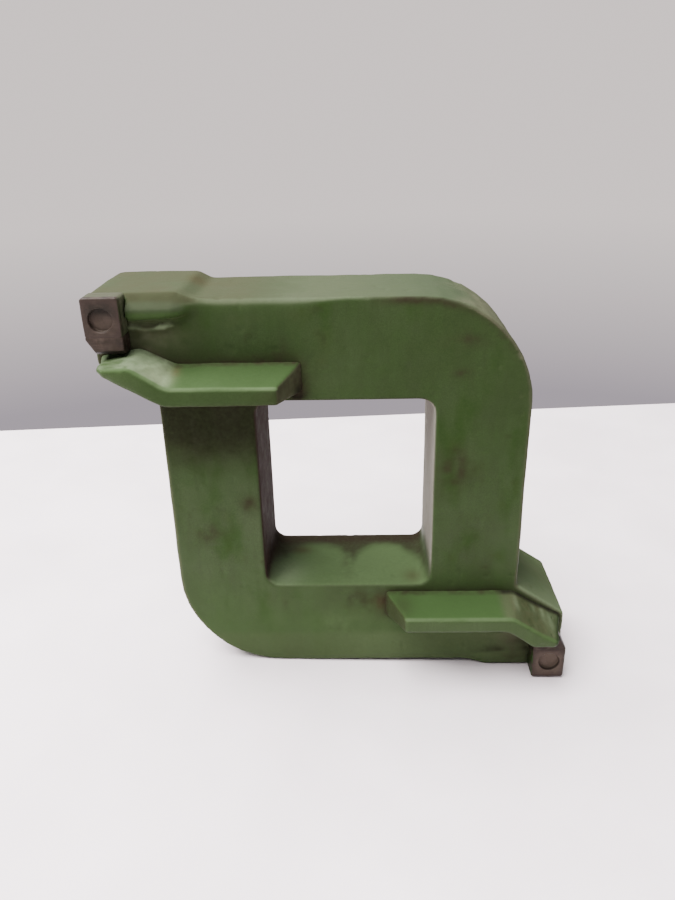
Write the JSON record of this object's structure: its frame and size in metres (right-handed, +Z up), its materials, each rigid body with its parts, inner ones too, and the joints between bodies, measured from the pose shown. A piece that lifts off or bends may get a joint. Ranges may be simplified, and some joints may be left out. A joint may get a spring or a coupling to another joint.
{
  "type": "magnet coil",
  "caption": "Resin-moulded magnet coil with a rectangular core window, metal terminal blocks at opposite corners and a bent barrier rib beside each terminal.",
  "frame": {"origin": "middle of the box's lowest plane, so the coil stands on z = 0 on its lower terminal corner", "axes": "+X across the coil's width, towards the lower terminal; +Y through the core window, from the terminal face to the back; +Z up"},
  "size_m": [0.1646, 0.0538, 0.1496],
  "materials": {
    "green_resin": "green moulded resin with a satin gloss, smudged brown in the creases",
    "barrier_resin": "green moulded resin, glossier and paler on its upper faces",
    "window_liner": "resin-coated insulating tube, brown where the coat is worn",
    "laminate": "phenolic laminate sheet",
    "pressboard": "pressboard",
    "insulation_paper": "layered insulating paper",
    "glass_tape": "woven glass tape",
    "winding_copper": "enamelled copper wire",
    "lead_sleeve": "varnished woven sleeving",
    "tinned_copper": "tinned copper tube",
    "terminal_metal": "brown oxidised metal"
  },
  "bodies": {
    "root": {"case_shell": "green_resin", "front_fill": "green_resin", "barrier_upper": "barrier_resin", "barrier_lower": "barrier_resin", "core_tube": "window_liner", "front_flange": "laminate", "rear_flange": "laminate", "lead_spacer": "pressboard", "winding_inner": "winding_copper", "winding_outer": "winding_copper", "interlayer_wrap": "insulation_paper", "ground_wrap": "glass_tape", "start_lead": "winding_copper", "finish_lead": "winding_copper", "start_lead_sleeve": "lead_sleeve", "finish_lead_sleeve": "lead_sleeve", "start_ferrule": "tinned_copper", "finish_ferrule": "tinned_copper", "terminal_block_upper": "terminal_metal", "terminal_block_lower": "terminal_metal", "terminal_strap_upper": "terminal_metal", "terminal_strap_lower": "terminal_metal"}
  },
  "joints": []
}
